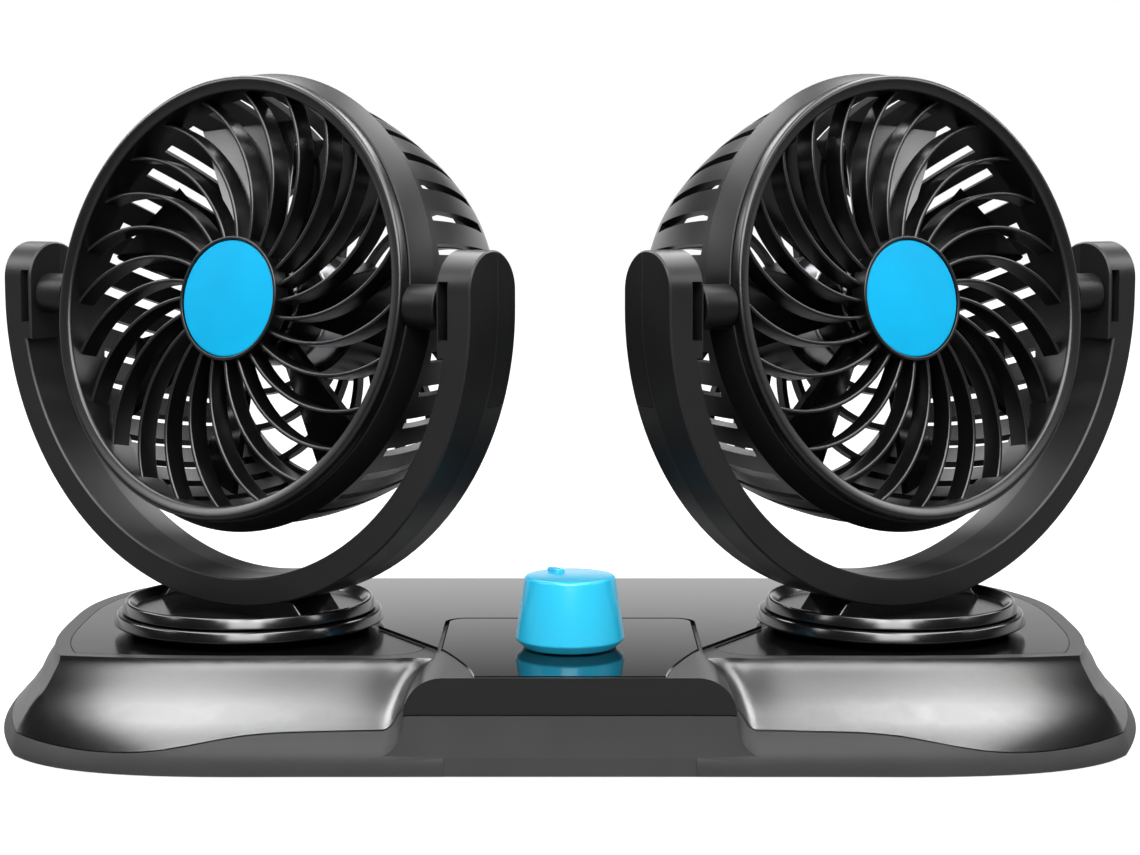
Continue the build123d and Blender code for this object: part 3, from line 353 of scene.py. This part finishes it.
def turnPiece(name, profile, rounds, steps):
    # profile: closed loop of (radius, height); rounds: (corner number, length taken off each side)
    deselectAll()
    bpy.ops.mesh.primitive_circle_add(vertices=len(profile), radius=1)
    piece = bpy.context.object
    piece.name = piece.data.name = name
    for point, (radius, height) in zip(piece.data.vertices, profile):
        point.co = (radius, 0, height)
    openEdit(piece)
    for corner, offset in rounds:
        spot = Vector((profile[corner][0], 0, profile[corner][1]))
        selectWhere(piece, lambda co: (co - spot).length < closeBy)
        bpy.ops.mesh.bevel(offset_type="OFFSET", offset=offset, segments=cornerSegments, affect="VERTICES")
    bpy.ops.mesh.select_all(action="SELECT")
    bpy.ops.mesh.spin(steps=steps, angle=math.tau, center=(0, 0, 0), axis=(0, 0, 1))
    closeEdit()
    cleanMesh(piece)
    return piece


def blockPiece(name, size, middle):
    deselectAll()
    bpy.ops.mesh.primitive_cube_add(size=1, location=middle)
    piece = bpy.context.object
    piece.name = piece.data.name = name
    openEdit(piece)
    bpy.ops.transform.resize(value=size)
    closeEdit()
    bpy.ops.object.transform_apply(location=True, rotation=True, scale=True)
    return piece


def rodPiece(name, radius, length, middle, turn, sides):
    deselectAll()
    bpy.ops.mesh.primitive_cylinder_add(
        vertices=sides, radius=radius, depth=length, location=middle, rotation=turn
    )
    piece = bpy.context.object
    piece.name = piece.data.name = name
    bpy.ops.object.transform_apply(location=True, rotation=True, scale=True)
    return piece


def applyModifiers(piece):
    deselectAll()
    bpy.context.view_layer.objects.active = piece
    piece.select_set(True)
    for modifier in list(piece.modifiers):
        bpy.ops.object.modifier_apply(modifier=modifier.name)


def soften(piece, width, segments, angle=50):
    bevel = piece.modifiers.new("soften", "BEVEL")
    bevel.width = width
    bevel.segments = segments
    bevel.limit_method = "ANGLE"
    bevel.angle_limit = math.radians(angle)
    applyModifiers(piece)


def cutWith(piece, cutter):
    cut = piece.modifiers.new("cut", "BOOLEAN")
    cut.operation = "DIFFERENCE"
    cut.solver = "EXACT"
    cut.object = cutter
    applyModifiers(piece)
    bpy.data.objects.remove(cutter)


def smoothShade(piece, angle=32):
    deselectAll()
    bpy.context.view_layer.objects.active = piece
    piece.select_set(True)
    bpy.ops.object.shade_smooth_by_angle(angle=math.radians(angle))


def twin(piece, name, matrix):
    other = piece.copy()
    other.data = piece.data.copy()
    other.name = other.data.name = name
    bpy.context.scene.collection.objects.link(other)
    other.data.transform(matrix)
    if matrix.determinant() < 0:
        other.data.flip_normals()
    return other


def ringOf(piece, count):
    pieces = [piece]
    for turn in range(1, count):
        pieces.append(twin(piece, piece.name, Matrix.Rotation(math.tau / count * turn, 4, "Z")))
    return pieces


def joinPieces(name, pieces):
    deselectAll()
    for piece in pieces:
        piece.select_set(True)
    bpy.context.view_layer.objects.active = pieces[0]
    bpy.ops.object.join()
    joined = bpy.context.object
    joined.name = joined.data.name = name
    return joined


def settle(piece, body, node, paintName):
    # the piece stands for its CAD node
    piece.data.materials.clear()
    piece.data.materials.append(finish[paintName])
    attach(piece, body)
    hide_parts(node)


def settleSide(piece, side, body, node, paintName):
    # the base is one body for both sides
    sideBody = body if body == "base" else side + "_" + body
    settle(piece, sideBody, side + "_" + node, paintName)


def settlePair(piece, name, place, body, node, paintName):
    piece.data.transform(metres @ place)
    other = twin(piece, "right" + name, mirror)
    piece.name = piece.data.name = "left" + name
    settleSide(piece, "left", body, node, paintName)
    settleSide(other, "right", body, node, paintName)


def mouldedCopy(nodeName, name, angle):
    # a CAD node's mesh, welded and smoothed
    source = frame["nodes"][nodeName]
    piece = source.copy()
    piece.data = source.data.copy()
    piece.name = piece.data.name = name
    piece.parent = None
    bpy.context.scene.collection.objects.link(piece)
    openEdit(piece)
    bpy.ops.mesh.customdata_custom_splitnormals_clear()
    bpy.ops.mesh.remove_doubles(threshold=weld * mm)
    closeEdit()
    smoothShade(piece, angle)
    return piece


# Front grille: lip, spiral ribs and hub ring in one moulding

grille = {
    "lipRadius": 53.7,
    "lipFront": 9.2,
    "lipBack": 6.2,
    "crestRadius": 52.4,
    "throatRadius": 50.2,
    "throatWall": 1.5,
    "innerDrop": 0.8,
    "ribCount": 24,
    "ribThickness": 1.0,
    "ribFront": 5.6,
    "ribBack": -0.4,
    "ribStart": 14.9,
    "ribStartSlant": 8.0,
    "ribArcRadius": 32.7,
    "ribArcAngle": 75.5,
    "hubRadius": 15.1,
    "hubFront": 6.9,
    "hubBack": 1.9,
    "capRadius": 14.2,
    "capPlay": 0.1,
    "capSeat": 5.0,
    "lipBackRound": 0.4,
    "lipFrontRound": 0.9,
    "throatRound": 0.7,
    "hubBackRound": 0.5,
    "hubFrontRound": 0.3,
    "hubStepRound": 0.2,
    "lipSteps": 128,
    "hubSteps": 64,
    "ribSides": 16,
    "ribSteps": 18,
}


def makeRib():
    thickness = grille["ribThickness"]
    deselectAll()
    bpy.ops.mesh.primitive_circle_add(
        vertices=grille["ribSides"],
        radius=thickness / 2,
        location=(grille["ribStart"], 0, grille["ribBack"] + thickness / 2),
        rotation=(math.pi / 2, 0, math.pi / 2),
    )
    rib = bpy.context.object
    rib.name = rib.data.name = "rib"
    bpy.ops.object.transform_apply(location=True, rotation=True, scale=True)
    openEdit(rib)
    middle = grille["ribBack"] + thickness / 2 + closeBy
    selectWhere(rib, lambda co: co.z > middle)
    bpy.ops.transform.translate(value=(0, 0, grille["ribFront"] - grille["ribBack"] - thickness))
    bpy.ops.mesh.select_all(action="SELECT")
    slant = math.radians(grille["ribStartSlant"])
    bpy.ops.transform.rotate(value=-slant, orient_axis="Z", center_override=(grille["ribStart"], 0, 0))
    centre = (
        grille["ribStart"] - grille["ribArcRadius"] * math.sin(slant),
        grille["ribArcRadius"] * math.cos(slant),
        0,
    )
    arc = math.radians(grille["ribArcAngle"])
    bpy.ops.mesh.spin(steps=grille["ribSteps"], angle=arc, center=centre, axis=(0, 0, -1))
    bpy.ops.mesh.select_all(action="SELECT")
    bpy.ops.mesh.fill_holes(sides=grille["ribSides"])
    closeEdit()
    cleanMesh(rib)
    return rib


def makeGrille():
    wall = grille["throatRadius"] + grille["throatWall"]
    lip = turnPiece(
        "lip",
        [
            (grille["throatRadius"], grille["ribBack"]),
            (wall, grille["ribBack"]),
            (wall, grille["lipBack"]),
            (grille["lipRadius"], grille["lipBack"]),
            (grille["lipRadius"], grille["lipFront"]),
            (grille["crestRadius"], grille["lipFront"]),
            (grille["throatRadius"], grille["lipFront"] - grille["innerDrop"]),
        ],
        ((3, grille["lipBackRound"]), (4, grille["lipFrontRound"]), (6, grille["throatRound"])),
        grille["lipSteps"],
    )
    recess = grille["capRadius"] + grille["capPlay"]
    hub = turnPiece(
        "hub",
        [
            (0, grille["hubBack"]),
            (grille["hubRadius"], grille["hubBack"]),
            (grille["hubRadius"], grille["hubFront"]),
            (recess, grille["hubFront"]),
            (recess, grille["capSeat"]),
            (0, grille["capSeat"]),
        ],
        ((1, grille["hubBackRound"]), (2, grille["hubFrontRound"]), (3, grille["hubStepRound"])),
        grille["hubSteps"],
    )
    ribs = ringOf(makeRib(), grille["ribCount"])
    front = joinPieces("FrontGrille", [lip, hub] + ribs)
    smoothShade(front)
    settlePair(front, "FrontGrille", headPlace, "head", "front_grille", "grilleBlack")
    print("front grilles ready")


makeGrille()


# Hub cap: flat disc with a softly rounded rim

hubCap = {
    "radius": grille["capRadius"],
    "front": 6.6,
    "thickness": 1.6,
    "rimRound": 0.5,
    "steps": 64,
}


def makeHubCap():
    back = hubCap["front"] - hubCap["thickness"]
    cap = turnPiece(
        "cap",
        [(0, back), (hubCap["radius"], back), (hubCap["radius"], hubCap["front"]), (0, hubCap["front"])],
        ((2, hubCap["rimRound"]),),
        hubCap["steps"],
    )
    smoothShade(cap)
    settlePair(cap, "HubCap", headPlace, "head", "hub_cap", "capBlue")
    print("hub caps ready")


makeHubCap()


# Head band with its two trunnions

band = {
    "frontRadius": 53.9,
    "rearRadius": 56.1,
    "front": 5.9,
    "rear": -1.1,
    "wall": 2.0,
    "edgeRound": 0.45,
    "bossHalfHeight": 5.1,
    "bossFront": 8.7,
    "bossRear": -3.6,
    "bossEnd": 62.7,
    "bossLength": 14.0,
    "bossCorner": 4.85,
    "bossCornerSegments": 9,
    "bossEdge": 0.5,
    "bossEdgeSegments": 3,
    "overLip": 54.0,
    "cutReach": 5.0,
    "pinRadius": 3.2,
    "pinEnd": 69.6,
    "pinRoot": 0.2,
    "pinEdge": 0.3,
    "pinEdgeSegments": 2,
    "pinSides": 32,
    "steps": 128,
}


def makeBand():
    ring = turnPiece(
        "ring",
        [
            (band["frontRadius"] - band["wall"], band["front"]),
            (band["rearRadius"] - band["wall"], band["rear"]),
            (band["rearRadius"], band["rear"]),
            (band["frontRadius"], band["front"]),
        ],
        ((2, band["edgeRound"]), (3, band["edgeRound"])),
        band["steps"],
    )
    length = band["bossFront"] - band["bossRear"]
    boss = blockPiece(
        "boss",
        (band["bossLength"], band["bossHalfHeight"] * 2, length),
        (band["bossEnd"] - band["bossLength"] / 2, 0, band["bossRear"] + length / 2),
    )
    openEdit(boss)
    bpy.ops.mesh.select_mode(type="EDGE")
    bpy.ops.mesh.select_all(action="DESELECT")
    bpy.ops.object.mode_set(mode="OBJECT")
    for edge in boss.data.edges:
        ends = [boss.data.vertices[index].co for index in edge.vertices]
        edge.select = abs(ends[0].x - ends[1].x) > band["bossLength"] / 2
    bpy.ops.object.mode_set(mode="EDIT")
    bpy.ops.mesh.bevel(offset=band["bossCorner"], segments=band["bossCornerSegments"], affect="EDGES")
    closeEdit()
    soften(boss, band["bossEdge"], band["bossEdgeSegments"])
    cutRear = band["bossRear"] - band["cutReach"]
    cutFront = band["bossFront"] + band["cutReach"]
    middleFront = band["frontRadius"] - band["wall"] / 2
    middleRear = band["rearRadius"] - band["wall"] / 2
    cutter = turnPiece(
        "cutter",
        [
            (0, cutRear),
            (middleRear, cutRear),
            (middleRear, band["rear"]),
            (middleFront, band["front"]),
            (band["overLip"], band["front"]),
            (band["overLip"], cutFront),
            (0, cutFront),
        ],
        (),
        band["steps"],
    )
    cutWith(boss, cutter)
    pinLength = band["pinEnd"] - band["bossEnd"] + band["pinRoot"]
    pinMiddle = (band["pinEnd"] - pinLength / 2, 0, 0)
    pin = rodPiece("pin", band["pinRadius"], pinLength, pinMiddle, (0, math.pi / 2, 0), band["pinSides"])
    soften(pin, band["pinEdge"], band["pinEdgeSegments"])
    side = joinPieces("side", [boss, pin])
    other = twin(side, "otherSide", mirror)
    whole = joinPieces("HeadBand", [ring, side, other])
    smoothShade(whole)
    settlePair(whole, "HeadBand", headPlace, "head", "head_band", "bandGloss")
    print("head bands ready")


makeBand()


# Swivel collar: low ring with an overhanging lip

collar = {
    "bore": 14.1,
    "foot": 28.6,
    "waist": 31.4,
    "lipLow": 33.0,
    "lipHigh": 32.2,
    "base": 21.8,
    "waistLevel": 23.5,
    "lipLevel": 24.0,
    "top": 26.5,
    "lipRound": 0.4,
    "steps": 128,
}


def makeCollar():
    ring = turnPiece(
        "collar",
        [
            (collar["bore"], collar["base"]),
            (collar["foot"], collar["base"]),
            (collar["waist"], collar["waistLevel"]),
            (collar["lipLow"], collar["lipLevel"]),
            (collar["lipHigh"], collar["top"]),
            (collar["bore"], collar["top"]),
        ],
        ((3, collar["lipRound"]), (4, collar["lipRound"])),
        collar["steps"],
    )
    smoothShade(ring)
    settlePair(ring, "SwivelCollar", swivelPlace, "base", "swivel_collar", "collarBlack")
    print("swivel collars ready")


makeCollar()


# Turning plate: sloped rim, dish, hollow spigot below, and a saddle that hugs the yoke

plate = {
    "spigotBore": 6.0,
    "spigot": 14.0,
    "spigotLow": 19.05,
    "low": 26.85,
    "rimLow": 31.0,
    "rimHigh": 30.1,
    "rimTop": 29.4,
    "rimWidth": 0.9,
    "dishRadius": 27.6,
    "dish": 27.5,
    "rimRound": 0.35,
    "saddleLength": 46.0,
    "saddleTopLength": 39.0,
    "saddleWidth": 14.8,
    "saddleTop": 31.2,
    "saddleRound": 0.5,
    "saddleSegments": 3,
    "saddleEdgeAngle": 30,
    "bedRadius": 73.35,
    "bedSides": 256,
    "steps": 128,
}


def makePlate():
    disc = turnPiece(
        "disc",
        [
            (0, plate["low"]),
            (plate["spigotBore"], plate["low"]),
            (plate["spigotBore"], plate["spigotLow"]),
            (plate["spigot"], plate["spigotLow"]),
            (plate["spigot"], plate["low"]),
            (plate["rimLow"], plate["low"]),
            (plate["rimHigh"], plate["rimTop"]),
            (plate["rimHigh"] - plate["rimWidth"], plate["rimTop"]),
            (plate["dishRadius"], plate["dish"]),
            (0, plate["dish"]),
        ],
        ((5, plate["rimRound"]), (6, plate["rimRound"]), (7, plate["rimRound"])),
        plate["steps"],
    )
    height = plate["saddleTop"] - plate["low"]
    middle = plate["low"] + height / 2
    saddle = blockPiece("saddle", (plate["saddleLength"], plate["saddleWidth"], height), (0, 0, middle))
    openEdit(saddle)
    selectWhere(saddle, lambda co: co.z > middle)
    bpy.ops.transform.resize(value=(plate["saddleTopLength"] / plate["saddleLength"], 1, 1))
    closeEdit()
    soften(saddle, plate["saddleRound"], plate["saddleSegments"], plate["saddleEdgeAngle"])
    bedMiddle = (0, 0, pivot[2])
    bedLength = plate["saddleWidth"] * 2
    bed = rodPiece("bed", plate["bedRadius"], bedLength, bedMiddle, (math.pi / 2, 0, 0), plate["bedSides"])
    cutWith(saddle, bed)
    saddle.data.transform(yawTurn)
    whole = joinPieces("SwivelPlate", [disc, saddle])
    smoothShade(whole)
    settlePair(whole, "SwivelPlate", swivelPlace, "yoke", "swivel_plate", "collarBlack")
    print("swivel plates ready")


makePlate()


# Speed knob with its narrowing skirt and pointer ridge

knob = {
    "low": 22.85,
    "widest": 24.7,
    "top": 39.4,
    "skirtRadius": 10.9,
    "widestRadius": 12.8,
    "topRadius": 10.6,
    "topRound": 0.7,
    "footRound": 0.35,
    "nutRoom": 6.7,
    "nutRoomTop": 24.45,
    "shaftRoom": 3.0,
    "shaftTop": 34.7,
    "ridgeReach": 9.6,
    "ridgeLength": 5.0,
    "ridgeWidth": 2.4,
    "ridgeHeight": 0.7,
    "ridgeSink": 1.0,
    "ridgeRound": 0.55,
    "ridgeSegments": 4,
    "ridgeTurn": 118.0,
    "steps": 96,
    "smoothAngle": 40,
}


def makeKnob():
    body = turnPiece(
        "knobBody",
        [
            (0, knob["shaftTop"]),
            (knob["shaftRoom"], knob["shaftTop"]),
            (knob["shaftRoom"], knob["nutRoomTop"]),
            (knob["nutRoom"], knob["nutRoomTop"]),
            (knob["nutRoom"], knob["low"]),
            (knob["skirtRadius"], knob["low"]),
            (knob["widestRadius"], knob["widest"]),
            (knob["topRadius"], knob["top"]),
            (0, knob["top"]),
        ],
        ((6, knob["footRound"]), (7, knob["topRound"])),
        knob["steps"],
    )
    height = knob["ridgeHeight"] + knob["ridgeSink"]
    across = knob["ridgeReach"] - knob["ridgeLength"] / 2
    ridge = blockPiece(
        "ridge",
        (knob["ridgeLength"], knob["ridgeWidth"], height),
        (across, 0, knob["top"] + knob["ridgeHeight"] - height / 2),
    )
    soften(ridge, knob["ridgeRound"], knob["ridgeSegments"])
    ridge.data.transform(Matrix.Rotation(math.radians(knob["ridgeTurn"]), 4, "Z"))
    whole = joinPieces("speedKnobPiece", [body, ridge])
    smoothShade(whole, knob["smoothAngle"])
    whole.data.transform(metres @ knobPlace)
    settle(whole, "knob", "speed_knob", "knobBlue")
    print("knob ready")


makeKnob()


# Mouldings that keep their CAD shape and get smooth surfaces

mouldingAngle = 24  # edges flatter than this are smoothed
mouldings = {  # piece name: node, body, slot, finish
    "BasePods": ("base_cover", "base", "base_black", "coverBlack"),
    "BaseTrayShell": ("base_tray", "base", "tray_plastic", "trayPlastic"),
}
sideMouldings = {
    "YokeFront": ("yoke_front", "yoke", "yoke_black", "yokeBlack"),
    "YokeRear": ("yoke_rear", "yoke", "yoke_black", "yokeRearBlack"),
    "RearCage": ("rear_cage", "head", "cage_black", "cageBlack"),
    "Impeller": ("impeller", "fan", "impeller_black", "impellerBlack"),
}


def makeMouldings():
    for name, (node, body, slotName, paintName) in mouldings.items():
        piece = mouldedCopy(node, name, mouldingAngle)
        settle(piece, body, node, paintName)
    for name, (node, body, slotName, paintName) in sideMouldings.items():
        for side in ("left", "right"):
            piece = mouldedCopy(side + "_" + node, side + name, mouldingAngle)
            settleSide(piece, side, body, node, paintName)
    print("mouldings ready")


makeMouldings()


# Finishes of the CAD nodes that stay

nodeFinish = {
    "centre_deck": "deckGloss",
    "control_panel": "deckGloss",
    "rubber_feet": "footRubber",
    "base_screws": "screwSteel",
    "cable_grommet": "footRubber",
    "circuit_board": "boardGreen",
    "speed_switch": "switchCase",
    "switch_nut": "screwSteel",
    "switch_shaft": "shaftSteel",
}
sideFinish = {
    "pod_inlay": "inlayBlack",
    "swivel_retainer": "switchCase",
    "retainer_screws": "screwSteel",
    "yoke_screws": "screwSteel",
    "pivot_covers": "yokeBlack",
    "pivot_discs": "collarBlack",
    "motor_can": "motorSteel",
    "motor_screws": "screwSteel",
    "motor_shaft": "shaftSteel",
}
for side in ("left_", "right_"):
    nodeFinish.update({side + node: paintName for node, paintName in sideFinish.items()})
for node, paintName in nodeFinish.items():
    materials = frame["nodes"][node].data.materials
    materials.clear()
    materials.append(finish[paintName])
print("nodes painted")


# Glossy lamps on the base cover


def shareLight(cover):
    # the pod lamps light the cover alone, past the heads, and the other glossy lamps skip it
    for name, (*_, lightsDull) in lamps.items():
        lamp = bpy.data.objects[name]
        if lightsDull:
            continue
        receivers = bpy.data.collections.new(name + "Receivers")
        receivers.objects.link(cover)
        lamp.light_linking.receiver_collection = receivers
        if name in podLamps:
            blockers = bpy.data.collections.new(name + "Blockers")
            blockers.objects.link(cover)
            lamp.light_linking.blocker_collection = blockers
            lamp.data.cycles.use_multiple_importance_sampling = False
        else:
            receivers.collection_objects[0].light_linking.link_state = "EXCLUDE"


shareLight(bpy.data.objects["BasePods"])
